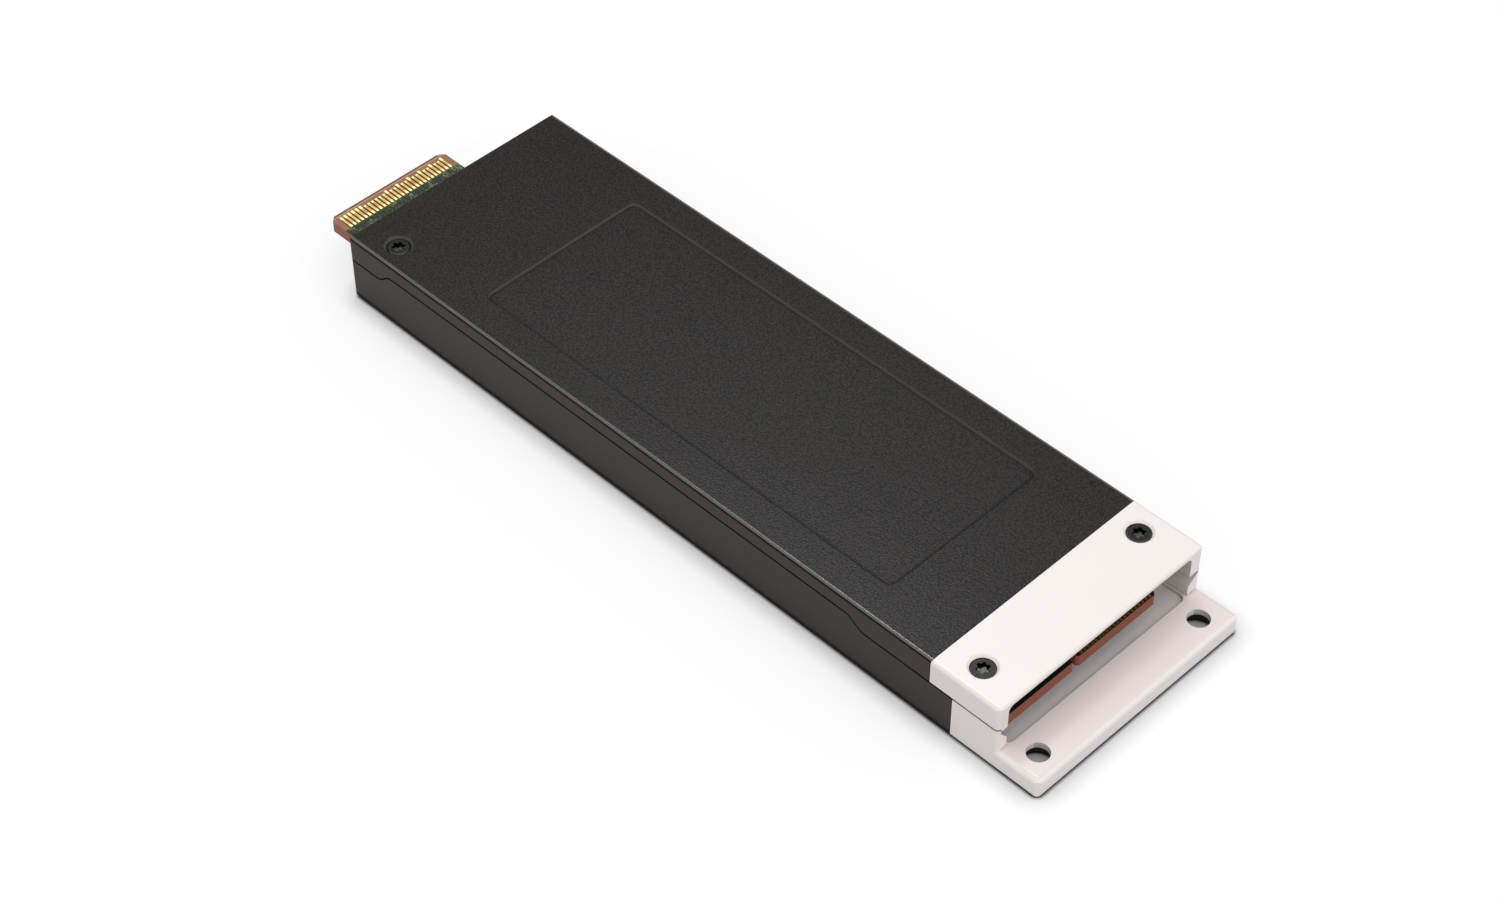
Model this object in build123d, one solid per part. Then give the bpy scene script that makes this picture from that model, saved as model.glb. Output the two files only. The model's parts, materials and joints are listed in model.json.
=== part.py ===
"""Long flat solid-state drive module: a two-shell cast case, a screw-on latch end and the board inside.

Millimetres, +Z up. The origin is the middle of the footprint on the underside. The card edge points to -X,
the tongue of the latch end to +X, and the near side of the case to -Y.
"""
import os
from math import radians, tan

from build123d import *

# Overall size
overall_length = 118.75
overall_width = 33.75
overall_height = 9.5

# Lengths of the visible zones along X
card_reach = 6.5
tongue_length = 5.95
cap_length = 9.85
bracket_length = 6.55

# Fits
joint_gap = 0.05
seam_gap = 0.25
lap_gap = 0.05
board_play = 0.125
screw_play = 0.05
hole_play = 0.35
overrun = 1.0

# Walls and plates of the two black castings
skirt_wall = 1.0
ledge_wall = 1.8
end_wall = 1.2
end_ledge = 2.2
cover_plate = 1.0
floor_plate = 1.7
lap_floor = 1.2

# Walls and plates of the two white castings
mouth_wall_near = 1.5
mouth_wall_far = 2.0
cap_plate = 0.6
tongue_thickness = 2.75
shoulder_gap = 0.8
shoulder_slope = 1.2
tray_inset = 0.25
tray_reach = 0.2
tray_depth = 0.4
tray_round = 1.0
lap_plate_length = 5.0

# Parting line between the upper and lower castings: how far below the top it runs at each stretch
seam_card_drop = 3.35
seam_mid_drop = 1.95
seam_latch_drop = 3.28
seam_card_flat = 5.6
seam_card_ramp = 1.7
seam_latch_flat = 10.0
seam_latch_ramp = 2.15
seam_round = 1.8
lap_depth = 0.4
lap_lip = 0.5

# Edge breaks
cover_round = 0.5
cover_end_round = 0.25
corner_round = 0.45
base_round = 0.5
base_end_round = 0.9
tongue_round = 0.5
tongue_top_round = 0.7
tongue_corner_round = 0.8
cap_round = 0.5
cap_mouth_round = 0.3
mouth_corner_round = 0.6
mouth_inner_round = 0.75

# Shallow label field on the cover
label_length = 66.4
label_width = 24.65
label_depth = 0.3
label_wall_angle = 30.0
label_round = 1.2
label_setback = 19.75
label_side = 4.65

# Lip of the cover that the latch-end cap holds down
lip_length = 1.65
lip_thickness = 0.7
lip_width = 20.0
lip_rib = 2.4

# Circuit board
board_thickness = 1.57
board_setback = 0.28
board_shoulder = 11.4
board_latch_gap = 0.15
lug_round = 0.5
card_tab_width = 18.4
card_tab_side = 2.0
card_tab_chamfer = 0.85
bevel_run = 0.45
bevel_drop = 0.2
near_lobe_width = 10.55
test_slot_width = 0.9
test_slot_depth = 2.6
test_tab_width = 13.1
test_tab_setback = 0.05
test_tab_chamfer = 0.3
far_recess_depth = 3.35

# Plated contacts
contact_count = 28
contact_pitch = 0.6
contact_width = 0.38
contact_thickness = 0.05
contact_end = 3.25
contact_long_start = 0.9
contact_short_start = 1.25
long_contacts = set(range(1, 7)) | set(range(13, contact_count + 1, 3))
test_contact_count = 20
test_contact_length = 1.4
test_contact_setback = 0.08

# Screws, their seats and the posts that they go through
screw_head_dia = 2.85
screw_head_height = 0.6
screw_head_chamfer = 0.12
screw_sink = 0.2
screw_seat_dia = 3.0
screw_seat_chamfer = 0.3
screw_thread_dia = 1.6
screw_tip_chamfer = 0.2
lobe_outer_dia = 1.7
lobe_inner_dia = 1.22
lobe_round_dia = 0.42
lobe_depth = 0.5
post_dia = 4.4
cover_screw_reach = 5.5
cover_screw_side = 3.35
cover_screw_length = 5.2
cap_screw_near_reach = 5.46
cap_screw_near_side = 3.43
cap_screw_far_reach = 6.43
cap_screw_far_side = 3.47
cap_screw_length = 6.4
tapped_spare = 0.6

# Lugs of the lower case that the cap screws clamp
lug_length = 6.4
lug_width = 4.1

# Holes of the tongue
tongue_hole_dia = 2.75
tongue_hole_setback = 2.87
tongue_hole_near_side = 3.2
tongue_hole_far_side = 3.7
tongue_hole_web = 0.85
tongue_counterbore_dia = 4.4

# Packages on the board: clear spaces round them, then size along X, size along Y and height
package_gap = 1.0
memory_columns = 2
memory_height = 0.9
memory_clearance = 0.575
controller_height = 1.7
controller_lid_inset = 1.5
controller_lid_height = 0.7
reserve_columns = 2
reserve_rows = 3
reserve_clearance = 8.225
inductor_clearance = 2.075
working_memory_size = (11.0, 7.5, 1.1)
reserve_length = 4.3
reserve_width = 7.3
reserve_floor_gap = 1.1
reserve_foot_size = (2.4, 0.2, 1.2)
inductor_size = (4.0, 4.0, 1.9)
regulator_size = (5.0, 5.0, 0.85)
clock_size = (3.2, 2.5, 0.8)
ceramic_size = (1.0, 0.5, 0.5)
ceramic_short_count = 6
ceramic_long_count = 10
package_chamfer = 0.15

# Pads between the packages and the castings
memory_pad_height = 0.35
lower_pad_height = 0.5
pad_inset = 0.4
pedestal_draft = 3.0

# Sizes worked out from the others
board_width = overall_width - 2 * (skirt_wall + board_play)
tray_width = overall_width - 2 * ledge_wall
memory_width = (tray_width - package_gap) / 2 - memory_clearance
controller_side = tray_width - 2 * (inductor_clearance + inductor_size[1] + package_gap)
controller_lid_side = controller_side - 2 * controller_lid_inset

# Places worked out from the sizes
x_tip = -overall_length / 2
x_case = x_tip + card_reach
x_end = overall_length / 2
x_mouth = x_end - tongue_length
x_cap = x_mouth - cap_length
x_bracket = x_mouth - bracket_length
x_board_end = x_mouth - board_setback
x_board_start = x_case + end_wall + board_play
y_near = -overall_width / 2
y_far = overall_width / 2
y_tab = y_near + card_tab_side + card_tab_width / 2
cover_ceiling = overall_height - cover_plate
cap_ceiling = overall_height - cap_plate
tray_floor = tongue_thickness - tray_depth
board_top = cover_ceiling - memory_pad_height - memory_height
board_bottom = board_top - board_thickness
lug_bottom = (board_bottom + tray_floor) / 2
seam_latch_height = overall_height - seam_latch_drop
reserve_size = (reserve_length, reserve_width, board_bottom - floor_plate - reserve_floor_gap)

cover_screw_place = (x_case + cover_screw_reach, y_near + cover_screw_side)
cap_screw_places = {
    "near": (x_mouth - cap_screw_near_reach, y_near + cap_screw_near_side),
    "far": (x_mouth - cap_screw_far_reach, y_far - cap_screw_far_side),
}


def block(x0, x1, y0, y1, z0, z1):
    """Plain box between two corners."""
    return Pos(x0, y0, z0) * Box(x1 - x0, y1 - y0, z1 - z0, align=(Align.MIN,) * 3)


def rod(place, diameter, z0, z1):
    """Upright cylinder at a place of the plan."""
    upright = (Align.CENTER, Align.CENTER, Align.MIN)
    return Pos(place[0], place[1], z0) * Cylinder(diameter / 2, z1 - z0, align=upright)


def eased_rectangle(x0, x1, y0, y1, eases):
    """Rectangle whose corners are each rounded by their own radius, counter-clockwise."""
    shape = Pos(x0, y0) * Rectangle(x1 - x0, y1 - y0, align=(Align.MIN, Align.MIN))
    for corner, ease in zip(((x0, y0), (x1, y0), (x1, y1), (x0, y1)), eases):
        if ease:
            vertex = shape.vertices().sort_by_distance(corner)[0]
            shape = fillet(vertex, ease)
    return shape


def eased_block(x0, x1, z0, z1, plan, side, section):
    """Full-width block that keeps to three eased outlines: from above, from the side and across."""
    upright = extrude(Pos(0, 0, z0) * eased_rectangle(x0, x1, y_near, y_far, plan), amount=z1 - z0)
    along = extrude(Plane.XZ * eased_rectangle(x0, x1, z0, z1, side), amount=overall_width, both=True)
    profile = eased_rectangle(y_near, y_far, z0, z1, section)
    return upright & along & extrude(Plane.YZ.offset(x0) * profile, amount=x1 - x0)


def edges_at_level(solid, level):
    """Edges whose middle lies at a level."""
    return [e for e in solid.edges() if abs(e.center().Z - level) < joint_gap / 2]


def above_seam(shift):
    """Everything above the parting line, moved up or down by shift."""
    card_foot = x_case + seam_card_flat
    latch_foot = x_cap - seam_latch_flat
    drops = (seam_card_drop, seam_mid_drop, seam_latch_drop)
    card_z, mid_z, latch_z = (overall_height - drop + shift for drop in drops)
    line = FilletPolyline(
        (x_tip - overrun, card_z),
        (card_foot, card_z),
        (card_foot + seam_card_ramp, mid_z),
        (latch_foot - seam_latch_ramp, mid_z),
        (latch_foot, latch_z),
        (x_end + overrun, latch_z),
        radius=seam_round,
    )
    top = overall_height + overrun
    x0, x1 = x_tip - overrun, x_end + overrun
    close = Polyline((x1, latch_z), (x1, top), (x0, top), (x0, card_z))
    face = make_face(Plane.XZ * (line + close))
    return extrude(face, amount=overall_width, both=True)


def inside_plan(inset, end_inset, x_stop, z0, z1):
    """Box inside the outline of the black castings, open towards the latch end."""
    return block(x_case + end_inset, x_stop, y_near + inset, y_far - inset, z0, z1)


def card_passage(z0, z1):
    """Slot in the end walls that the card tab comes out through."""
    play = board_play
    half = card_tab_width / 2 + play
    return block(x_case - overrun, x_case + end_ledge, y_tab - half, y_tab + half, z0, z1)


def screw_seat(place):
    """Flat seat with a wide sloped rim that a screw head lies in, and the hole below it."""
    seat_z = overall_height - screw_sink - screw_head_height
    seat = rod(place, screw_seat_dia, seat_z, overall_height + overrun)
    rim = Pos(place[0], place[1], overall_height - screw_seat_chamfer) * Cone(
        screw_seat_dia / 2, screw_seat_dia / 2 + 2 * screw_seat_chamfer, 2 * screw_seat_chamfer,
        align=(Align.CENTER, Align.CENTER, Align.MIN))
    return seat + rim + rod(place, screw_thread_dia + hole_play, 0, overall_height)


def label_field():
    """Shallow field with sloped walls and rounded corners, widest at the face of the cover."""
    spread = label_depth * tan(radians(label_wall_angle))
    outline = RectangleRounded(label_length - 2 * spread, label_width - 2 * spread, label_round - spread)
    middle = Pos(x_case + label_setback + label_length / 2, y_near + label_side + label_width / 2,
                 overall_height - label_depth)
    return middle * extrude(outline, amount=2 * label_depth, taper=-label_wall_angle)


def top_cover():
    """Grained black cover: plate with label field, stepped skirt, lap tongue, screw post and end lip."""
    x_stop = x_cap - joint_gap
    shell = eased_block(
        x_case, x_stop, 0, overall_height, (corner_round, 0, 0, corner_round), (0, 0, 0, cover_end_round),
        (0, 0, cover_round, cover_round))
    tongue = inside_plan(lap_lip + lap_gap, lap_lip + lap_gap, x_stop, 0, cover_ceiling + cover_plate / 2)
    shell = (shell & above_seam(0)) + (tongue & above_seam(-lap_depth))
    shell -= inside_plan(skirt_wall, end_wall, x_stop + overrun, 0, cover_ceiling)
    shell -= card_passage(0, board_top + board_play)
    lip_top = cap_ceiling - joint_gap
    rib = inside_plan(skirt_wall, end_wall, x_stop, lip_top - lip_thickness, cover_ceiling)
    shell += rib & block(x_stop - lip_rib, x_stop, y_near, y_far, 0, overall_height)
    y_lip = lip_width / 2
    shell += block(x_stop - lip_rib, x_cap + lip_length, -y_lip, y_lip, lip_top - lip_thickness, lip_top)
    shell += rod(cover_screw_place, post_dia, board_top, cover_ceiling) & inside_plan(
        skirt_wall / 2, end_wall / 2, x_stop, 0, overall_height)
    shell -= screw_seat(cover_screw_place)
    return shell - label_field()


def pedestal(x, y, size_x, size_y, top):
    """Cast block on the floor of the lower case, tapered by its draft, that meets a pad."""
    taper = (top - floor_plate) * tan(radians(pedestal_draft))
    low = Rectangle(size_x + 2 * taper, size_y + 2 * taper)
    high = Rectangle(size_x, size_y)
    return loft([Pos(x, y, floor_plate - joint_gap) * low, Pos(x, y, top) * high])


def latch_walls(gap):
    """Y of the inner faces of the two latch-end walls, drawn in by a gap."""
    return y_near + mouth_wall_near + gap, y_far - mouth_wall_far - gap


def lug(place):
    """Ear of the lower case that reaches into the latch end and carries the board."""
    wall_near, wall_far = latch_walls(lap_gap)
    y0, y1 = (wall_near, wall_near + lug_width) if place[1] < 0 else (wall_far - lug_width, wall_far)
    ear = block(place[0] - lug_length / 2, place[0] + post_dia / 2, y0, y1, lug_bottom, board_bottom)
    ear = fillet([e for e in ear.edges().filter_by(Axis.Z) if e.center().X > place[0]], lug_round)
    side = y_near if place[1] < 0 else y_far
    x0, x1 = x_bracket - lug_length, x_bracket - joint_gap
    root = block(x0, x1, min(side, y0), max(side, y1), lug_bottom, board_bottom)
    root &= inside_plan(lap_lip, end_wall, x_bracket, 0, overall_height)
    return (ear + root) - rod(place, screw_thread_dia + hole_play, 0, overall_height)


def lap_plate_sides():
    """Y of the two long sides of the bracket's lap plate."""
    return y_near + ledge_wall + 2 * lap_gap, y_far - ledge_wall - 2 * lap_gap


def bottom_case():
    """Black tray: floor, stepped side walls with lap lip, board ledges, boss, pedestals and latch lugs."""
    x_stop = x_bracket - joint_gap
    tray = eased_block(
        x_case, x_stop, 0, overall_height, (corner_round, 0, 0, corner_round), (base_end_round, 0, 0, 0),
        (base_round, base_round, 0, 0))
    tray -= above_seam(-seam_gap)
    inner_lip = inside_plan(lap_lip, lap_lip, x_stop + overrun, 0, overall_height)
    tray -= inner_lip & above_seam(-lap_depth - seam_gap)
    tray -= inside_plan(skirt_wall, end_wall, x_stop + overrun, board_bottom, overall_height)
    tray -= inside_plan(ledge_wall, end_ledge, x_stop + overrun, floor_plate, overall_height)
    tray -= card_passage(board_bottom - board_play, overall_height)
    tray += rod(cover_screw_place, post_dia, floor_plate - joint_gap, board_bottom)
    for x, y, size, top in pedestal_places():
        tray += pedestal(x, y, size[0], size[1], top)
    y0, y1 = lap_plate_sides()
    x0 = x_bracket - lap_plate_length - lap_gap
    tray -= block(x0, x_bracket, y0 - lap_gap, y1 + lap_gap, lap_floor, floor_plate)
    for place in cap_screw_places.values():
        tray += lug(place)
    bottom = overall_height - screw_sink - screw_head_height - cover_screw_length - tapped_spare
    return tray - rod(cover_screw_place, screw_thread_dia + 2 * screw_play, bottom, overall_height)


def latch_end_cap():
    """White cap over the latch end: plate, rounded mouth, lap tongues and two screw posts."""
    corner = mouth_corner_round
    cap = eased_block(
        x_cap, x_mouth, 0, overall_height, (0, corner, corner, 0), (0, 0, cap_mouth_round, 0),
        (0, 0, cap_round, cap_round))
    inset = lap_lip + lap_gap
    low = seam_latch_height - lap_depth
    lap = block(x_cap, x_mouth, y_near + inset, y_far - inset, low, overall_height)
    cap &= block(x_cap, x_mouth, y_near, y_far, seam_latch_height, overall_height) + lap
    wall_near, wall_far = latch_walls(0)
    corner = mouth_inner_round
    room = eased_rectangle(wall_near, wall_far, 0, cap_ceiling, (0, 0, corner, corner))
    cap -= extrude(Plane.YZ.offset(x_cap) * room, amount=cap_length)
    for place in cap_screw_places.values():
        post = rod(place, post_dia, board_top, overall_height - cap_plate / 2)
        cap += post & block(x_cap, x_mouth, y_near + inset, y_far - inset, 0, overall_height)
        cap -= screw_seat(place)
    return cap


def tongue_holes():
    """Two through holes of the tongue with wider bores from the underside."""
    holes = []
    for y in (y_near + tongue_hole_near_side, y_far - tongue_hole_far_side):
        place = (x_end - tongue_hole_setback, y)
        holes.append(rod(place, tongue_hole_dia, -overrun, tongue_thickness + overrun))
        holes.append(rod(place, tongue_counterbore_dia, -overrun, tongue_thickness - tongue_hole_web))
    return holes


def bracket_wall(side, wall):
    """Side wall of the bracket: thin outer lip, then a shoulder that slopes to the inner face."""
    top = seam_latch_height - seam_gap
    shoulder = seam_latch_height - shoulder_gap
    points = [(0, 0), (0, top), (lap_lip, top), (lap_lip, shoulder), (wall, shoulder - shoulder_slope),
              (wall, 0), (0, 0)]
    outline = Polyline(*[(side * (overall_width / 2 - across), z) for across, z in points])
    return extrude(Plane.YZ.offset(x_bracket) * make_face(outline), amount=bracket_length)


def latch_end_bracket():
    """White bracket: side walls, shallow tray, drilled tongue, lap plate under the board and two bosses."""
    low, high = tongue_round, tongue_top_round
    corner = tongue_corner_round
    body = eased_block(
        x_bracket, x_end, 0, tongue_thickness,
        (0, corner, corner, 0), (0, low, high, 0), (low, low, high, high))
    walls = bracket_wall(-1, mouth_wall_near) + bracket_wall(1, mouth_wall_far)
    corner = mouth_corner_round
    body += walls & eased_block(
        x_bracket, x_mouth, 0, overall_height, (0, corner, corner, 0), (0, 0, 0, 0),
        (base_round, base_round, 0, 0))
    wall_near, wall_far = latch_walls(tray_inset)
    corner = tray_round
    x_tray = x_mouth + tray_reach
    tray = eased_rectangle(x_bracket - overrun, x_tray, wall_near, wall_far, (0, corner, corner, 0))
    body -= Pos(0, 0, tray_floor) * extrude(tray, amount=tray_depth)
    y0, y1 = lap_plate_sides()
    body += block(x_bracket - lap_plate_length, x_bracket, y0, y1, lap_floor, tray_floor)
    for place in cap_screw_places.values():
        room = block(x_bracket - lap_plate_length, x_bracket, y0, y1, 0, overall_height)
        room += block(x_bracket, x_mouth, y_near + lap_lip, y_far - lap_lip, 0, overall_height)
        body += rod(place, post_dia, lap_floor, lug_bottom) & room
    for hole in tongue_holes():
        body -= hole
    bottom = overall_height - screw_sink - screw_head_height - cap_screw_length - tapped_spare
    for place in cap_screw_places.values():
        body -= rod(place, screw_thread_dia + 2 * screw_play, bottom, overall_height)
    return body


def six_lobe_recess(depth_top):
    """Driver recess: a disc with six round lobes and six round flutes between them."""
    middle = (lobe_outer_dia + lobe_inner_dia) / 4
    shape = Sketch() + Circle(middle)
    shape += PolarLocations(lobe_outer_dia / 2 - lobe_round_dia / 2, 6) * Circle(lobe_round_dia / 2)
    flute = lobe_round_dia / 2
    shape -= PolarLocations(lobe_inner_dia / 2 + flute, 6, start_angle=30) * Circle(flute)
    return Pos(0, 0, depth_top) * extrude(shape, amount=-lobe_depth)


def screw(length):
    """Low-head screw with its seat at z = 0, the head above it and the thread below."""
    head = rod((0, 0), screw_head_dia, 0, screw_head_height)
    head = chamfer(edges_at_level(head, screw_head_height), screw_head_chamfer)
    shank = rod((0, 0), screw_thread_dia, -length, 0)
    shank = chamfer(edges_at_level(shank, -length), screw_tip_chamfer)
    return (head + shank) - six_lobe_recess(screw_head_height)


def placed_screw(place, length):
    """Screw down in its seat at a place of the plan."""
    return Pos(place[0], place[1], overall_height - screw_sink - screw_head_height) * screw(length)


def circuit_board():
    """Board with bevelled card tab, wide middle, and a latch end with slots, tab and corner recess."""
    half = board_width / 2
    x_shoulder = x_mouth - board_shoulder
    y_latch_near, y_latch_far = latch_walls(board_latch_gap)
    y0, y1 = y_tab - card_tab_width / 2, y_tab + card_tab_width / 2
    cut = card_tab_chamfer
    tab_near = y_latch_near + near_lobe_width + test_slot_width
    tab_far = tab_near + test_tab_width
    x_lobe = x_board_end
    x_test = x_board_end - test_tab_setback
    outline = Polyline(
        (x_tip, y0 + cut), (x_tip + cut, y0), (x_board_start, y0), (x_board_start, -half),
        (x_shoulder, -half), (x_shoulder, y_latch_near), (x_lobe, y_latch_near),
        (x_lobe, tab_near - test_slot_width), (x_lobe - test_slot_depth, tab_near - test_slot_width),
        (x_lobe - test_slot_depth, tab_near), (x_test - test_tab_chamfer, tab_near),
        (x_test, tab_near + test_tab_chamfer), (x_test, tab_far - test_tab_chamfer),
        (x_test - test_tab_chamfer, tab_far), (x_board_end - far_recess_depth, tab_far),
        (x_board_end - far_recess_depth, y_latch_far), (x_shoulder, y_latch_far), (x_shoulder, half),
        (x_board_start, half), (x_board_start, y1), (x_tip + cut, y1), (x_tip, y1 - cut), (x_tip, y0 + cut))
    board = Pos(0, 0, board_bottom) * extrude(make_face(outline), amount=board_thickness)
    for z, way in ((board_top, 1), (board_bottom, -1)):
        wedge = Polyline((x_tip - bevel_run, z + way * bevel_drop), (x_tip + bevel_run, z),
                         (x_tip, z - way * bevel_drop), (x_tip - bevel_run, z - way * 2 * bevel_drop),
                         (x_tip - bevel_run, z + way * bevel_drop))
        board -= extrude(Plane.XZ * make_face(wedge), amount=overall_width, both=True)
    for place in (cover_screw_place, *cap_screw_places.values()):
        board -= rod(place, screw_thread_dia + hole_play, 0, overall_height)
    return board


def card_contacts(z):
    """Row of plated fingers on one face of the card tab, some of them longer for first mating."""
    fingers = []
    for k in range(contact_count):
        y = y_tab + (k - (contact_count - 1) / 2) * contact_pitch
        start = contact_long_start if k + 1 in long_contacts else contact_short_start
        finger = block(x_tip + start, x_tip + contact_end, y - contact_width / 2, y + contact_width / 2,
                       z, z + contact_thickness)
        fingers.append(finger)
    return Compound(fingers)


def test_contacts():
    """Row of plated pads on the small tab at the latch end."""
    tab_near = latch_walls(board_latch_gap)[0] + near_lobe_width + test_slot_width
    y_mid = tab_near + test_tab_width / 2
    x1 = x_board_end - test_tab_setback - test_contact_setback
    pads = []
    for k in range(test_contact_count):
        y = y_mid + (k - (test_contact_count - 1) / 2) * contact_pitch
        pads.append(block(x1 - test_contact_length, x1, y - contact_width / 2, y + contact_width / 2,
                          board_top, board_top + contact_thickness))
    return Compound(pads)


def package(x, y, size, side):
    """Moulded flat package lying on the upper (side 1) or lower (side -1) face of the board."""
    z0 = board_top if side > 0 else board_bottom - size[2]
    body = flat_block(x, y, size, z0, z0 + size[2])
    outer = z0 + size[2] if side > 0 else z0
    return chamfer(edges_at_level(body, outer), package_chamfer)


def lower_pad_top(height):
    """Level of a pad's upper face under a package of this height on the board's lower side."""
    return board_bottom - height


def flat_block(x, y, size, z0, z1):
    """Flat block between two levels, such as a heat pad."""
    return block(x - size[0] / 2, x + size[0] / 2, y - size[1] / 2, y + size[1] / 2, z0, z1)


# Layout of the packages, from the card end to the latch end
row_y = (memory_width + package_gap) / 2
controller_x = x_board_start + end_ledge + post_dia + controller_side / 2 + 2 * package_gap
working_memory_x = controller_x + controller_side / 2 + package_gap + working_memory_size[0] / 2
memory_x = working_memory_x + working_memory_size[0] / 2 + package_gap
reserve_step = reserve_size[0] + package_gap
reserve_x = x_bracket - lap_plate_length - reserve_clearance - reserve_columns * reserve_step + package_gap
column_step = (reserve_x - memory_x) / memory_columns
memory_size = (column_step - package_gap, memory_width, memory_height)
memory_block_length = reserve_x - memory_x - package_gap


def memory_places():
    """Places of the memory packages: rows along the board on each face."""
    columns = [memory_x + memory_size[0] / 2 + k * column_step for k in range(memory_columns)]
    return [(x, row * row_y, side) for side in (1, -1) for row in (-1, 1) for x in columns]


def working_memory_places():
    """Places of the working memory: a pair beside the controller, on the upper face."""
    step = (working_memory_size[1] + package_gap) / 2
    return [(working_memory_x, -step), (working_memory_x, step)]


def memory_pad_size():
    """Plan size of a pad that covers one row of memory packages."""
    return memory_block_length - 2 * pad_inset, memory_width - 2 * pad_inset


def pedestal_places():
    """Places, plan sizes and tops of the cast pedestals under the lower packages."""
    memory_top = lower_pad_top(memory_height) - lower_pad_height
    controller_top = lower_pad_top(controller_height) - lower_pad_height
    places = [(controller_x, 0, (controller_lid_side, controller_lid_side), controller_top)]
    for row in (-1, 1):
        places.append((memory_x + memory_block_length / 2, row * row_y, memory_pad_size(), memory_top))
    return places


def controller():
    """Controller package with its raised metal lid, on the board's lower face."""
    substrate_height = controller_height - controller_lid_height
    base = package(controller_x, 0, (controller_side, controller_side, substrate_height), -1)
    z1 = board_bottom - substrate_height
    size = (controller_lid_side, controller_lid_side)
    return base + flat_block(controller_x, 0, size, z1 - controller_lid_height, z1)


def reserve_capacitor(x, y):
    """Moulded block capacitor on the board's lower face, with a metal foot at each end."""
    body = package(x, y, reserve_size, -1)
    feet = (reserve_foot_size[0], reserve_size[1] + 2 * reserve_foot_size[1])
    return body + flat_block(x, y, feet, board_bottom - reserve_foot_size[2], board_bottom)


def ceramic_row(x, y, count, side):
    """Line of small ceramic capacitors across the board, one width apart."""
    z0 = board_top if side > 0 else board_bottom - ceramic_size[2]
    places = [y + (k - (count - 1) / 2) * 2 * ceramic_size[1] for k in range(count)]
    return [flat_block(x, place, ceramic_size, z0, z0 + ceramic_size[2]) for place in places]


def inner_parts():
    """Every piece that the closed case hides, by node name."""
    parts = {"controller": controller()}
    for k, (x, y, side) in enumerate(memory_places(), 1):
        parts[f"memory_package_{k}"] = package(x, y, memory_size, side)
    for k, (x, y) in enumerate(working_memory_places(), 1):
        parts[f"working_memory_{k}"] = package(x, y, working_memory_size, 1)
    step_y = reserve_size[1] + package_gap
    for k in range(reserve_rows * reserve_columns):
        x = reserve_x + reserve_size[0] / 2 + k % reserve_columns * reserve_step
        y = (k // reserve_columns - (reserve_rows - 1) / 2) * step_y
        parts[f"reserve_capacitor_{k + 1}"] = reserve_capacitor(x, y)
    inductor_y = controller_side / 2 + inductor_size[1] / 2 + package_gap
    for k in range(3):
        x = controller_x + (k - 1) * (inductor_size[0] + package_gap)
        parts[f"power_inductor_{k + 1}"] = package(x, inductor_y, inductor_size, -1)
    for k in range(2):
        x = controller_x + (k - 1 / 2) * (regulator_size[0] + package_gap)
        parts[f"power_regulator_{k + 1}"] = package(x, inductor_y, regulator_size, 1)
    parts["clock_crystal"] = package(controller_x, -inductor_y, clock_size, -1)
    quarter = controller_side / 4
    left_row = ceramic_row(controller_x - quarter, -quarter, ceramic_short_count, 1)
    right_row = ceramic_row(controller_x + quarter, -quarter, ceramic_short_count, 1)
    parts["ceramic_capacitors_upper"] = Compound(left_row + right_row)
    x_row = controller_x - controller_side / 2 - package_gap
    parts["ceramic_capacitors_lower"] = Compound(ceramic_row(x_row, 0, ceramic_long_count, -1))
    return parts


def heat_pads():
    """Soft pads: one under each upper memory row, and one on each lower pedestal."""
    parts = {}
    x = memory_x + memory_block_length / 2
    z0 = board_top + memory_height
    z1 = lower_pad_top(memory_height)
    for name, row in (("near", -1), ("far", 1)):
        y = row * row_y
        parts[f"upper_heat_pad_{name}"] = flat_block(x, y, memory_pad_size(), z0, z0 + memory_pad_height)
        parts[f"lower_heat_pad_{name}"] = flat_block(x, y, memory_pad_size(), z1 - lower_pad_height, z1)
    z1 = lower_pad_top(controller_height)
    size = (controller_lid_side, controller_lid_side)
    parts["controller_heat_pad"] = flat_block(controller_x, 0, size, z1 - lower_pad_height, z1)
    return parts


def all_parts():
    """Every node of the module, by name."""
    parts = {
        "top_cover": top_cover(),
        "bottom_case": bottom_case(),
        "latch_end_cap": latch_end_cap(),
        "latch_end_bracket": latch_end_bracket(),
        "circuit_board": circuit_board(),
        "card_contacts_upper": card_contacts(board_top),
        "card_contacts_lower": card_contacts(board_bottom - contact_thickness),
        "test_tab_contacts": test_contacts(),
        "cover_screw": placed_screw(cover_screw_place, cover_screw_length),
    }
    cap_screws = [placed_screw(place, cap_screw_length) for place in cap_screw_places.values()]
    parts["cap_screws"] = Compound(cap_screws)
    parts.update(inner_parts())
    parts.update(heat_pads())
    return parts


os.makedirs("parts", exist_ok=True)
for node, shape in all_parts().items():
    export_step(shape, f"parts/{node}.step")
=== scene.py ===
"""Finishes, floor, light and camera for the ruler ssd module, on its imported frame.

Blender's units are metres here. Sizes are given in millimetres and turned by MM.
"""

import json
import math

import bpy
from mathutils import Matrix, Vector


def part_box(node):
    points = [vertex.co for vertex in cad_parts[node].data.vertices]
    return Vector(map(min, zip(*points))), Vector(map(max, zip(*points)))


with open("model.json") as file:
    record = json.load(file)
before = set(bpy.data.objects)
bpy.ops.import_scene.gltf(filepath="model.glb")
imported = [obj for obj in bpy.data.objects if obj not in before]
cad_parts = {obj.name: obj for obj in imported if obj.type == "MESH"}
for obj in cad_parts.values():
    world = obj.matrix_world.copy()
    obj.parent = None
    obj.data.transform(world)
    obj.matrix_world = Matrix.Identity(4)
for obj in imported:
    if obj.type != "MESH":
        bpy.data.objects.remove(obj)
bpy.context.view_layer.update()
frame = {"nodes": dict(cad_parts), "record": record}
nodes = frame["nodes"]

MM = 0.001

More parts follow.
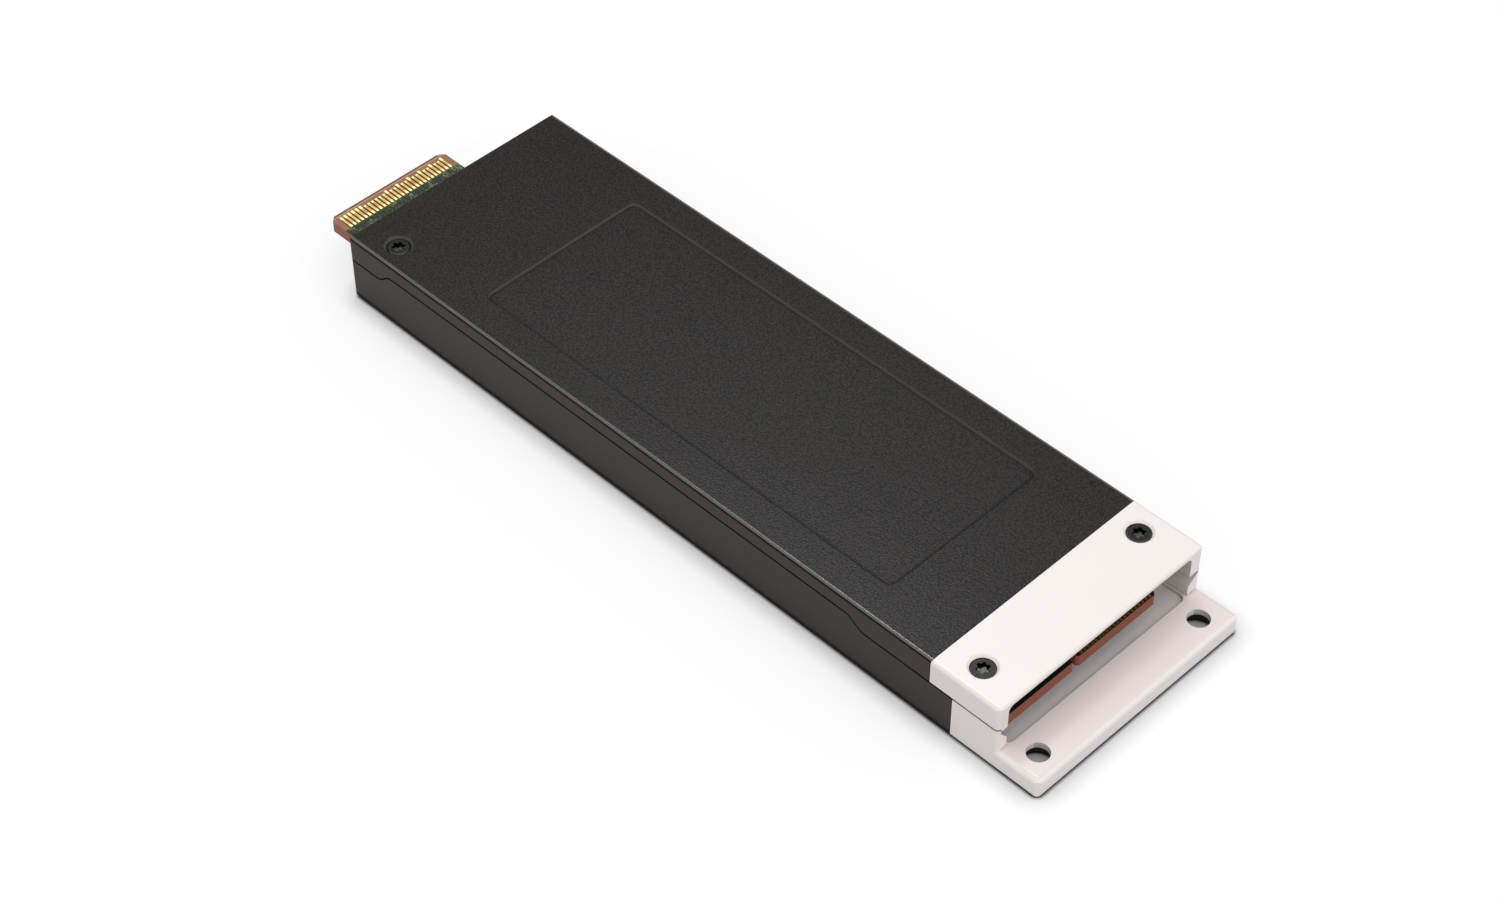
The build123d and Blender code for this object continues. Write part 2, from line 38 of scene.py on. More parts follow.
# Camera: how it stands to the module, as measured in the photograph
CAMERA_AZIMUTH = 45.0076
CAMERA_ELEVATION = 45.2416
CAMERA_DISTANCE = 358.093
CAMERA_SLIDE = (-0.3256, -4.5414)
CAMERA_LENS = 73.37
SENSOR_WIDTH = 36.0
NEAR_CLIP = 10.0
TARGET_HEIGHT = 4.75

# Corners of the nodes that the finishes are fitted to, in millimetres
COVER_LOW, COVER_HIGH = ([c / MM for c in corner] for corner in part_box("top_cover"))
BOARD_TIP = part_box("circuit_board")[0][0] / MM
CONTACT_LOW, CONTACT_HIGH = ([c / MM for c in corner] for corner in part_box("card_contacts_upper"))
TEST_LOW, TEST_HIGH = ([c / MM for c in corner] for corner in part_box("test_tab_contacts"))
SCREW_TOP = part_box("cover_screw")[1][2] / MM
TONGUE_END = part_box("latch_end_bracket")[1][0] / MM
TONGUE_TOP = 2.75

# How far a coat looks round itself to find that it lies in a corner, a bore or a foot,
# where it is dull and darkened with painted shade
CAVITY = 0.8

# How many rays such a look round takes, and how many ease an edge
LOOK_RAYS = 8
EASE_RAYS = 4

# How high the painted shade at the foot of a casting reaches
FOOT = 0.4

# How open a spot is, from 0 in a closed corner to 1 in the open: where each coat and the floor
# are fully darkened with painted shade, and where they have their full colour
COVER_SHUT, COVER_OPEN = 0.75, 0.97
CASE_SHUT, CASE_OPEN = 0.35, 0.85
WHITE_SHUT, WHITE_OPEN = 0.25, 0.65
FLOOR_SHUT, FLOOR_OPEN = 0.35, 0.9

# How far up a face's normal points, from 0 on a wall to 1 on a level face: where the cover's top
# and the laminate's faces begin and are whole, the middle and reach of slanted faces and of a
# screw's chamfers, which get painted highlights, and what counts as level and as steep, where
# level faces of the white coat and steep faces of a screw get painted shade
TOP_BEGINS, TOP_WHOLE = 0.85, 0.97
FACE_BEGINS, FACE_WHOLE = 0.7, 0.9
SLANTED, SLANTED_REACH = 0.6, 0.2
CHAMFERED, CHAMFERED_REACH = 0.65, 0.3
LEVEL = 0.9
STEEP = 0.3

# How far a wall's normal points to the near or far side when it counts as facing there
SIDEWAYS = 0.5

# Refractive indices, as matched to the gloss in the photograph
COVER_IOR = 1.22
CASE_IOR = 1.34
WHITE_IOR = 1.45
LAMINATE_IOR = 1.3

# The tongue's holes: how far their middles are from its end and from the near and far sides,
# the level where their wide lower bores end, and how far those bores reach from the middle;
# the white coat is black with painted shade inside them
HOLE_SETBACK = 2.87
HOLE_FROM_NEAR = 3.2
HOLE_FROM_FAR = 3.7
BORE_TOP = 1.9
BORE_REACH = 2.3
HOLES = [(TONGUE_END - HOLE_SETBACK, y, BORE_TOP)
         for y in (COVER_LOW[1] + HOLE_FROM_NEAR, COVER_HIGH[1] - HOLE_FROM_FAR)]


def linear(colour):
    """Linear colour of an sRGB hex string."""
    parts = [int(colour[k:k + 2], 16) / 255 for k in (0, 2, 4)]
    return [p / 12.92 if p <= 0.04045 else ((p + 0.055) / 1.055) ** 2.4 for p in parts] + [1.0]


def add(tree, kind, inputs=None, **settings):
    """New node of a kind, with its settings, its input values and its links.

    A hex string is a colour.
    """
    new = tree.nodes.new("ShaderNode" + kind)
    for name, value in settings.items():
        setattr(new, name, value)
    for name, value in (inputs or {}).items():
        if isinstance(value, bpy.types.NodeSocket):
            tree.links.new(value, new.inputs[name])
        else:
            new.inputs[name].default_value = linear(value) if isinstance(value, str) else value
    return new


def new_material(name, colour, roughness, metallic=0.0, ior=None):
    """Material with a Principled shader; returns it, its tree, its shader and its coordinates."""
    material = bpy.data.materials.new(name)
    material.use_nodes = True
    tree = material.node_tree
    shader = tree.nodes["Principled BSDF"]
    shader.inputs["Base Color"].default_value = linear(colour)
    shader.inputs["Roughness"].default_value = roughness
    shader.inputs["Metallic"].default_value = metallic
    if ior is not None:
        shader.inputs["IOR"].default_value = ior
    return material, tree, shader, add(tree, "TexCoord").outputs["Object"]


# Black coat: pitch of the pebbles on top, how deep they are, how far edges are eased,
# and how far the coat looks for a crease, which it darkens with painted shade
PEBBLE = 0.24
PEBBLE_DEPTH = 0.011
COAT_EASE = 0.12
CREASE = 0.6

# Grit on the pebbles: its size and its share of the height; then the height at a pebble's middle
# before the grit comes off it, and the heights where the painted shade between the pebbles is
# darkest and the painted highlight on them is palest
GRIT = 0.5 * PEBBLE
GRIT_SHARE = 0.5
PEBBLE_HEIGHT = 0.7
DARKEST_AT, PALEST_AT = -0.2, 0.3

# Long upper edges of the cover, from the side inwards: strip of each with a painted highlight,
# with how soft its outer and inner sides are, and strip below the top with painted shade
PALE_FROM, PALE_TO = 0.16, 0.46
PALE_OUTER_BLUR = 0.03
PALE_INNER_BLUR = 0.05
DARK_FROM, DARK_TO = 0.29, 0.15

# How far below the top the pebbled finish ends, and where it is whole
LID_END, LID_WHOLE = 0.4, 0.35

# The cover's coat: roughness of its sides and top, how much the faces with painted highlights
# lose, and how much creases and the strip with painted shade gain
SIDE_ROUGHNESS = 0.46
LID_ROUGHNESS = 0.3
HIGHLIGHT_ROUGHNESS_LOSS = -0.1
CREASE_GAIN = 0.5


def textured_black_coat():
    """Black textured powder coat on a die casting.

    On top it is pebbled like fine leather, with a painted highlight on the pebbles and painted
    shade between them. The sides are smooth and a little warmer. Slanted faces and a strip along
    each long upper edge carry a painted highlight, with a strip of painted shade below it, and
    creases carry painted shade. Its refractive index is lower than a real coat's, so that the lid
    keeps its depth under the lamp behind it. The pebbles are drawn as coarse as they need to be to
    show.
    """
    material, tree, shader, spot = new_material("textured_black_coat", "2B2A29", 0.5, ior=COVER_IOR)
    xyz = add(tree, "SeparateXYZ", {0: spot}).outputs
    up = add(tree, "SeparateXYZ", {0: add(tree, "NewGeometry").outputs["Normal"]}).outputs["Z"]
    facing = add(tree, "MapRange", {0: up, 1: TOP_BEGINS, 2: TOP_WHOLE}).outputs[0]
    top = COVER_HIGH[2]
    high = add(tree, "MapRange", {0: xyz["Z"], 1: (top - LID_END) * MM,
                                  2: (top - LID_WHOLE) * MM}).outputs[0]
    on_top = add(tree, "Math", {0: facing, 1: high}, operation="MULTIPLY").outputs[0]

    # Painted highlights on slanted faces, such as the rim of the screw seat and the walls of the
    # label field, and on a strip of each long upper edge, with painted shade on a strip below it
    slanted = add(tree, "Math", {0: up, 1: SLANTED, 2: SLANTED_REACH},
                  operation="COMPARE").outputs[0]
    aside = add(tree, "Math", {0: xyz["Y"]}, operation="ABSOLUTE").outputs[0]
    inset = add(tree, "Math", {0: COVER_HIGH[1] * MM, 1: aside}, operation="SUBTRACT").outputs[0]
    inner = add(tree, "MapRange", {0: inset, 1: PALE_TO * MM,
                                   2: (PALE_TO + PALE_INNER_BLUR) * MM}).outputs[0]
    slanted_highlight = add(tree, "Math", {0: slanted, 1: inner}, operation="MULTIPLY").outputs[0]
    outer = add(tree, "MapRange", {0: inset, 1: (PALE_FROM - PALE_OUTER_BLUR) * MM,
                                   2: (PALE_FROM + PALE_OUTER_BLUR) * MM}).outputs[0]
    edge_strip_highlight = add(tree, "Math", {0: outer, 1: inner}, operation="SUBTRACT", use_clamp=True).outputs[0]
    edge_strip_highlight = add(tree, "Math", {0: edge_strip_highlight, 1: high}, operation="MULTIPLY").outputs[0]
    edge_highlight = add(tree, "Math", {0: slanted_highlight, 1: high, 2: edge_strip_highlight}, operation="MULTIPLY_ADD",
                  use_clamp=True).outputs[0]
    below = add(tree, "Math", {0: xyz["Z"], 1: (top - (DARK_FROM + DARK_TO) / 2) * MM,
                               2: (DARK_FROM - DARK_TO) / 2 * MM}, operation="COMPARE").outputs[0]
    outside = add(tree, "Math", {0: 1.0, 1: outer}, operation="SUBTRACT").outputs[0]
    shaded = add(tree, "Math", {0: below, 1: outside}, operation="MULTIPLY").outputs[0]

    # Pebbles, with a finer grit on them
    pebbles = add(tree, "TexVoronoi", {"Vector": spot, "Scale": 1 / (PEBBLE * MM)},
                  feature="SMOOTH_F1").outputs[0]
    grit = add(tree, "TexNoise", {"Vector": spot, "Scale": 1 / (GRIT * MM),
                                  "Detail": 1.0}).outputs[0]
    hollow = add(tree, "Math", {0: grit, 1: GRIT_SHARE, 2: pebbles},
                 operation="MULTIPLY_ADD").outputs[0]
    height = add(tree, "Math", {0: PEBBLE_HEIGHT, 1: hollow}, operation="SUBTRACT").outputs[0]
    eased = add(tree, "Bevel", {"Radius": COAT_EASE * MM}, samples=EASE_RAYS).outputs[0]
    relief = add(tree, "Bump", {"Height": height, "Distance": PEBBLE_DEPTH * MM,
                                "Strength": on_top, "Normal": eased}).outputs[0]
    tree.links.new(relief, shader.inputs["Normal"])

    # Paint: pebbles with painted highlight and shade on top, plain sides, and over them the painted
    # highlights on slanted faces and the edge strip, and the painted shade on the strip below and in
    # the creases
    # Painted highlight on the pebbles and painted shade between them, by their height
    pale = add(tree, "MapRange", {0: height, 1: DARKEST_AT, 2: PALEST_AT},
               interpolation_type="SMOOTHSTEP").outputs[0]
    pebbled = add(tree, "Mix", {0: pale, 6: "030303", 7: "2B2623"}, data_type="RGBA").outputs[2]
    colour = add(tree, "Mix", {0: on_top, 6: "3A3331", 7: pebbled}, data_type="RGBA").outputs[2]
    for place, tone in ((edge_highlight, "45413F"), (edge_strip_highlight, "605E5D"), (shaded, "0C0B0B")):
        colour = add(tree, "Mix", {0: place, 6: colour, 7: tone}, data_type="RGBA").outputs[2]
    # Painted shade in creases, kept off the slanted faces with painted highlights
    openness = add(tree, "AmbientOcclusion", {"Distance": CREASE * MM}, samples=LOOK_RAYS).outputs["AO"]
    openness = add(tree, "MapRange", {0: openness, 1: COVER_SHUT, 2: COVER_OPEN}).outputs[0]
    openness = add(tree, "Math", {0: openness, 1: slanted_highlight}, operation="MAXIMUM").outputs[0]
    colour = add(tree, "Mix", {0: openness, 6: "060606", 7: colour}, data_type="RGBA").outputs[2]
    tree.links.new(colour, shader.inputs["Base Color"])

    rough = add(tree, "MapRange", {0: on_top, 3: SIDE_ROUGHNESS, 4: LID_ROUGHNESS}).outputs[0]
    rough = add(tree, "Math", {0: edge_highlight, 1: HIGHLIGHT_ROUGHNESS_LOSS, 2: rough},
                operation="MULTIPLY_ADD").outputs[0]
    closed = add(tree, "Math", {0: 1.0, 1: openness}, operation="SUBTRACT").outputs[0]
    closed = add(tree, "Math", {0: closed, 1: shaded}, operation="MAXIMUM").outputs[0]
    rough = add(tree, "Math", {0: closed, 1: CREASE_GAIN, 2: rough}, operation="MULTIPLY_ADD",
                use_clamp=True).outputs[0]
    tree.links.new(rough, shader.inputs["Roughness"])
    return material


# Lower casting's coat: size and depth of its ripple, size of the drift in its colour, how high
# above the floor its painted shade at the foot ends, and its roughness
RIPPLE = 0.5
RIPPLE_DEPTH = 0.006
COAT_DRIFT = 12.0
COAT_WHOLE = 2.5 * FOOT
PLAIN_ROUGHNESS = 0.48


def plain_black_coat():
    """Black powder coat of the lower casting.

    It is smooth, faintly rippled like orange peel and warm, with painted shade in corners and at its
    foot.
    """
    material, tree, shader, spot = new_material("plain_black_coat", "241C1A", PLAIN_ROUGHNESS,
                                                ior=CASE_IOR)
    ripple = add(tree, "TexNoise", {"Vector": spot, "Scale": 1 / (RIPPLE * MM),
                                    "Detail": 2.0}).outputs[0]
    eased = add(tree, "Bevel", {"Radius": COAT_EASE * MM}, samples=EASE_RAYS).outputs[0]
    relief = add(tree, "Bump", {"Height": ripple, "Distance": RIPPLE_DEPTH * MM,
                                "Normal": eased}).outputs[0]
    tree.links.new(relief, shader.inputs["Normal"])
    drift = add(tree, "TexNoise", {"Vector": spot, "Scale": 1 / (COAT_DRIFT * MM),
                                   "Detail": 2.0}).outputs[0]
    coat = add(tree, "Mix", {0: drift, 6: "231A18", 7: "271E1B"}, data_type="RGBA").outputs[2]
    # Painted shade in corners and at the foot
    openness = add(tree, "AmbientOcclusion", {"Distance": CAVITY * MM}, samples=LOOK_RAYS).outputs["AO"]
    openness = add(tree, "MapRange", {0: openness, 1: CASE_SHUT, 2: CASE_OPEN}).outputs[0]
    height = add(tree, "SeparateXYZ", {0: spot}).outputs["Z"]
    raised = add(tree, "MapRange", {0: height, 1: FOOT * MM, 2: COAT_WHOLE * MM}).outputs[0]
    openness = add(tree, "Math", {0: openness, 1: raised}, operation="MULTIPLY").outputs[0]
    colour = add(tree, "Mix", {0: openness, 6: "060606", 7: coat}, data_type="RGBA").outputs[2]
    tree.links.new(colour, shader.inputs["Base Color"])
    rough = add(tree, "MapRange", {0: openness, 3: 1.0, 4: PLAIN_ROUGHNESS}).outputs[0]
    tree.links.new(rough, shader.inputs["Roughness"])
    return material


# White coat: size and depth of its tooth, and size of the drift in its colour
TOOTH = 0.25
TOOTH_DEPTH = 0.004
WHITE_DRIFT = 9.0

# Height above the floor under which the white coat is black with painted shade at its foot, how
# far below the tongue's top a level face counts as sunk and gets painted shade, and how near that
# top a face is part of it, which gets a lighter painted shade
WHITE_START = 0.2 * FOOT
SUNK = 0.2
TONGUE_BAND = 0.15

# Inner walls of the mouth, which get painted shade: at least this far in from the sides and down
# from the top
WALL_INSET = 0.4
WALL_DROP = 1.2


def satin_white_coat():
    """Off-white satin powder coat with a warm cast.

    It is even, with a very fine tooth that softens its highlights. The sunk floor under the board
    and the inner walls of the mouth are greyer with painted shade, and the top of the tongue a
    little, where the cap stands over it. Bores, corners and the foot are dark with painted shade.
    """
    material, tree, shader, spot = new_material("satin_white_coat", "EEE5E3", 0.4, ior=WHITE_IOR)
    xyz = add(tree, "SeparateXYZ", {0: spot}).outputs
    tooth = add(tree, "TexNoise", {"Vector": spot, "Scale": 1 / (TOOTH * MM),
                                   "Detail": 3.0}).outputs[0]
    relief = add(tree, "Bump", {"Height": tooth, "Distance": TOOTH_DEPTH * MM}).outputs[0]
    tree.links.new(relief, shader.inputs["Normal"])
    drift = add(tree, "TexNoise", {"Vector": spot, "Scale": 1 / (WHITE_DRIFT * MM),
                                   "Detail": 2.0}).outputs[0]
    coat = add(tree, "Mix", {0: drift, 6: "EBE2E0", 7: "EEE5E3"}, data_type="RGBA").outputs[2]

    # Painted shade: corners, the foot, and the wide bores under the tongue's holes
    openness = add(tree, "AmbientOcclusion", {"Distance": CAVITY * MM}, samples=LOOK_RAYS).outputs["AO"]
    openness = add(tree, "MapRange", {0: openness, 1: WHITE_SHUT, 2: WHITE_OPEN}).outputs[0]
    raised = add(tree, "MapRange", {0: xyz["Z"], 1: WHITE_START * MM, 2: FOOT * MM}).outputs[0]
    openness = add(tree, "Math", {0: openness, 1: raised}, operation="MULTIPLY").outputs[0]
    for hole in HOLES:
        # How far a spot is from the hole's axis
        middle = [c * MM for c in hole]
        away = add(tree, "VectorMath", {0: spot, 1: middle}, operation="SUBTRACT").outputs[0]
        away = add(tree, "VectorMath", {0: away, 1: (1.0, 1.0, 0.0)}, operation="MULTIPLY").outputs[0]
        away = add(tree, "VectorMath", {0: away}, operation="LENGTH").outputs["Value"]
        outside = add(tree, "Math", {0: away, 1: BORE_REACH * MM},
                      operation="GREATER_THAN").outputs[0]
        above = add(tree, "Math", {0: xyz["Z"], 1: middle[2]}, operation="GREATER_THAN").outputs[0]
        clear = add(tree, "Math", {0: outside, 1: above}, operation="MAXIMUM").outputs[0]
        openness = add(tree, "Math", {0: openness, 1: clear}, operation="MULTIPLY").outputs[0]

    # Level faces that get painted shade: the sunk floor, and the top of the tongue
    facing = add(tree, "SeparateXYZ", {0: add(tree, "NewGeometry").outputs["Normal"]}).outputs
    level = add(tree, "Math", {0: facing["Z"], 1: LEVEL}, operation="GREATER_THAN").outputs[0]
    sunk = add(tree, "Math", {0: xyz["Z"], 1: (TONGUE_TOP - SUNK) * MM},
               operation="LESS_THAN").outputs[0]
    sunk_floor_shade = add(tree, "Math", {0: level, 1: sunk}, operation="MULTIPLY").outputs[0]
    tongue_top_shade = add(tree, "Math", {0: xyz["Z"], 1: TONGUE_TOP * MM, 2: TONGUE_BAND * MM},
                 operation="COMPARE").outputs[0]
    tongue_top_shade = add(tree, "Math", {0: tongue_top_shade, 1: level}, operation="MULTIPLY").outputs[0]

    # Inner walls of the mouth, which get painted shade: they face the near or far side, but lie within
    # both
    across = add(tree, "Math", {0: facing["Y"]}, operation="ABSOLUTE").outputs[0]
    across = add(tree, "Math", {0: across, 1: SIDEWAYS}, operation="GREATER_THAN").outputs[0]
    aside = add(tree, "Math", {0: xyz["Y"]}, operation="ABSOLUTE").outputs[0]
    inside = add(tree, "Math", {0: aside, 1: (COVER_HIGH[1] - WALL_INSET) * MM},
                 operation="LESS_THAN").outputs[0]
    below = add(tree, "Math", {0: xyz["Z"], 1: (COVER_HIGH[2] - WALL_DROP) * MM},
                operation="LESS_THAN").outputs[0]
    mouth_wall_shade = add(tree, "Math", {0: across, 1: inside}, operation="MULTIPLY").outputs[0]
    mouth_wall_shade = add(tree, "Math", {0: mouth_wall_shade, 1: below}, operation="MULTIPLY").outputs[0]

    # Painted shade on the sunk floor, the top of the tongue and the inner walls of the mouth
    for place, tone in ((sunk_floor_shade, "D8D1CF"), (tongue_top_shade, "E5DBD9"), (mouth_wall_shade, "C2BBB9")):
        coat = add(tree, "Mix", {0: place, 6: coat, 7: tone}, data_type="RGBA").outputs[2]
    colour = add(tree, "Mix", {0: openness, 6: "080808", 7: coat}, data_type="RGBA").outputs[2]
    tree.links.new(colour, shader.inputs["Base Color"])
    return material


# Card contacts: pitch of the row, width of one, and how much further back the short ones start
CONTACT_PITCH = 0.6
FINGER_WIDTH = 0.38
SHORT_START = 0.4

# Card tip, from its end inwards: the verge with painted shade, the lead-in bevel, darker as cut
# laminate and with painted shade, and the ridge behind it with a painted highlight
VERGE = 0.15
BEVEL_RUN = 0.45
RIDGE_AT = 0.6
RIDGE_REACH = 0.06

# Solder mask: how softly it begins behind the contacts, and how far it stays off the test tab's
# contacts at their front and sides
MASK_BLUR = 0.1
TAB_FRONT = 0.2
TAB_SIDE = 0.6

# Tracks under the mask: height of their ridges, sizes of the patches and flecks that break them
# up, and how many fine ticks go to one contact
TRACK_HEIGHT = 0.03
PATCH = 1.3
FLECK = 0.3
TICKS_PER_CONTACT = 2.2

# Where a track and a fine tick begin and are whole, in shares of their pitch, the same for the
# patches and flecks on a noise from 0 to 1, and how they are stretched along the tracks
TRACK_BEGINS, TRACK_WHOLE = 0.16, 0.3
TICK_BEGINS, TICK_WHOLE = 0.2, 0.34
PATCH_BEGINS, PATCH_WHOLE = 0.46, 0.56
FLECK_BEGINS, FLECK_WHOLE = 0.42, 0.55
TRACK_STRETCH = (0.7, 1.0, 1.0)

# Bare laminate: size of its weave, how that is stretched along the board's ends, and how far the
# dark resin goes beside the contacts
WEAVE = 0.35
WEAVE_STRETCH = (1.0, 0.25, 1.0)
RESIN_SIDE = 0.1

# How rough the bare laminate is, and the solder mask
BARE_ROUGHNESS = 0.6
MASK_ROUGHNESS = 0.25


def masked_laminate():
    """Glass-fibre laminate: red-brown where it is bare, dark green under its solder mask.

    The mask covers the faces between the card contacts and the test tab. It lies in low ridges
    over the tracks, which run back from the contacts and show as broken paler ticks. Dark resin
    lies between the plated contacts.
    """
    material, tree, shader, spot = new_material("masked_laminate", "8A4D3A", 0.55, ior=LAMINATE_IOR)
    xyz = add(tree, "SeparateXYZ", {0: spot}).outputs
    normal = add(tree, "NewGeometry").outputs["Normal"]
    up = add(tree, "SeparateXYZ", {0: normal}).outputs["Z"]
    up = add(tree, "Math", {0: up}, operation="ABSOLUTE").outputs[0]
    flat = add(tree, "MapRange", {0: up, 1: FACE_BEGINS, 2: FACE_WHOLE}).outputs[0]

    # Where the mask lies: past the card contacts, and not on the test tab
    begun = add(tree, "MapRange", {0: xyz["X"], 1: CONTACT_HIGH[0] * MM,
                                   2: (CONTACT_HIGH[0] + MASK_BLUR) * MM}).outputs[0]
    beyond = add(tree, "Math", {0: xyz["X"], 1: (TEST_LOW[0] - TAB_FRONT) * MM},
                 operation="GREATER_THAN").outputs[0]
    middle = (TEST_LOW[1] + TEST_HIGH[1]) / 2
    half = (TEST_HIGH[1] - TEST_LOW[1]) / 2 + TAB_SIDE
    across = add(tree, "Math", {0: xyz["Y"], 1: middle * MM, 2: half * MM},
                 operation="COMPARE").outputs[0]
    on_tab = add(tree, "Math", {0: beyond, 1: across}, operation="MULTIPLY").outputs[0]
    off_tab = add(tree, "Math", {0: 1.0, 1: on_tab}, operation="SUBTRACT").outputs[0]
    masked = add(tree, "Math", {0: flat, 1: begun}, operation="MULTIPLY").outputs[0]
    masked = add(tree, "Math", {0: masked, 1: off_tab}, operation="MULTIPLY").outputs[0]

    # Tracks in line with the contacts, broken up along and across; at the latch end, under the
    # cap, the mask is one dark colour of painted shade
    row = add(tree, "Math", {0: xyz["Y"], 1: 1 / (CONTACT_PITCH * MM),
                             2: -CONTACT_LOW[1] / CONTACT_PITCH}, operation="MULTIPLY_ADD").outputs[0]
    wave = add(tree, "Math", {0: row, 1: 0.5}, operation="PINGPONG").outputs[0]
    track = add(tree, "MapRange", {0: wave, 1: TRACK_BEGINS, 2: TRACK_WHOLE}).outputs[0]
    stretched = add(tree, "VectorMath", {0: spot, 1: TRACK_STRETCH}, operation="MULTIPLY").outputs[0]
    patch = add(tree, "TexNoise", {"Vector": stretched, "Scale": 1 / (PATCH * MM),
                                   "Detail": 1.0}).outputs[0]
    patch = add(tree, "MapRange", {0: patch, 1: PATCH_BEGINS, 2: PATCH_WHOLE}).outputs[0]
    fine = add(tree, "Math", {0: row, 1: TICKS_PER_CONTACT}, operation="MULTIPLY").outputs[0]
    fine = add(tree, "Math", {0: fine, 1: 0.5}, operation="PINGPONG").outputs[0]
    fine = add(tree, "MapRange", {0: fine, 1: TICK_BEGINS, 2: TICK_WHOLE}).outputs[0]
    fleck = add(tree, "TexNoise", {"Vector": stretched, "Scale": 1 / (FLECK * MM),
                                   "Detail": 0.0}).outputs[0]
    fleck = add(tree, "MapRange", {0: fleck, 1: FLECK_BEGINS, 2: FLECK_WHOLE}).outputs[0]
    tick = add(tree, "Math", {0: patch, 1: fleck}, operation="MULTIPLY").outputs[0]
    tick = add(tree, "Math", {0: tick, 1: fine}, operation="MULTIPLY").outputs[0]
    latch_end_shade = add(tree, "Math", {0: xyz["X"], 1: 0.0}, operation="GREATER_THAN").outputs[0]
    mask = add(tree, "Mix", {0: track, 6: "202C1B", 7: "2D3F27"}, data_type="RGBA").outputs[2]
    for place, tone in ((tick, "93A080"), (latch_end_shade, "10160E")):
        mask = add(tree, "Mix", {0: place, 6: mask, 7: tone}, data_type="RGBA").outputs[2]

    # Bare laminate: woven glass in brown resin, darker with painted shade on the edges at the latch
    # end under the cap
    along = add(tree, "VectorMath", {0: spot, 1: WEAVE_STRETCH}, operation="MULTIPLY").outputs[0]
    weave = add(tree, "TexNoise", {"Vector": along, "Scale": 1 / (WEAVE * MM),
                                   "Detail": 2.0}).outputs[0]
    edge = add(tree, "Mix", {0: weave, 6: "8C5642", 7: "A26752"}, data_type="RGBA").outputs[2]
    edge = add(tree, "Mix", {0: latch_end_shade, 6: edge, 7: "7F4837"}, data_type="RGBA").outputs[2]

    # Its faces: the bevel, darker as cut laminate and with painted shade, the ridge with a painted
    # highlight and the verge with painted shade at the tip, dark resin between the contacts, and the
    # test tab, dark with painted shade under the cap
    from_tip = add(tree, "Math", {0: xyz["X"], 1: BOARD_TIP * MM}, operation="SUBTRACT").outputs[0]
    bevel = add(tree, "Math", {0: from_tip, 1: BEVEL_RUN * MM}, operation="LESS_THAN").outputs[0]
    ridge_highlight = add(tree, "Math", {0: from_tip, 1: RIDGE_AT * MM, 2: RIDGE_REACH * MM},
                operation="COMPARE").outputs[0]
    verge_shade = add(tree, "Math", {0: from_tip, 1: VERGE * MM}, operation="LESS_THAN").outputs[0]
    start, end = CONTACT_LOW[0] + SHORT_START, CONTACT_HIGH[0]
    near, far = CONTACT_LOW[1] - RESIN_SIDE, CONTACT_HIGH[1] + RESIN_SIDE
    between_x = add(tree, "Math", {0: xyz["X"], 1: (start + end) / 2 * MM,
                                   2: (end - start) / 2 * MM}, operation="COMPARE").outputs[0]
    between_y = add(tree, "Math", {0: xyz["Y"], 1: (near + far) / 2 * MM,
                                   2: (far - near) / 2 * MM}, operation="COMPARE").outputs[0]
    between = add(tree, "Math", {0: between_x, 1: between_y}, operation="MULTIPLY").outputs[0]
    face = add(tree, "Mix", {0: weave, 6: "825A42", 7: "A07A58"}, data_type="RGBA").outputs[2]
    for place, tone in ((bevel, "7A4C3A"), (ridge_highlight, "C89C7C"), (verge_shade, "4A3026"),
                        (between, "2E1C06"), (on_tab, "1E140D")):
        face = add(tree, "Mix", {0: place, 6: face, 7: tone}, data_type="RGBA").outputs[2]

    bare = add(tree, "Mix", {0: flat, 6: edge, 7: face}, data_type="RGBA").outputs[2]
    colour = add(tree, "Mix", {0: masked, 6: bare, 7: mask}, data_type="RGBA").outputs[2]
    tree.links.new(colour, shader.inputs["Base Color"])
    rough = add(tree, "MapRange", {0: masked, 3: BARE_ROUGHNESS, 4: MASK_ROUGHNESS}).outputs[0]
    tree.links.new(rough, shader.inputs["Roughness"])
    relief = add(tree, "Bump", {"Height": track, "Distance": TRACK_HEIGHT * MM,
                                "Strength": masked}).outputs[0]
    tree.links.new(relief, shader.inputs["Normal"])
    return material


# Painted highlights at the ends of a card contact: where each begins, and where it is whole, from
# that end inwards
ROOT_BEGINS, ROOT_WHOLE = 0.75, 0.35
TIP_BEGINS, TIP_WHOLE = 0.78, 0.55

# Brush marks of the gold: their width, how they are stretched along a contact, where one begins
# and is whole on a noise from 0 to 1, and how strongly they show between the ends
BRUSH = 0.3
BRUSH_STRETCH = (0.08, 1.0, 1.0)
BRUSH_BEGINS, BRUSH_WHOLE = 0.38, 0.62
BRUSH_SHARE = 0.5

# Painted shade on the flanks of a card contact: where it begins and is whole, in shares of its
# half width
FLANK_BEGINS, FLANK_WHOLE = 0.75, 1.05

# How rough the gold is off the brush marks and on them
GOLD_ROUGHNESS = 0.3
BRUSHED_ROUGHNESS = 0.22


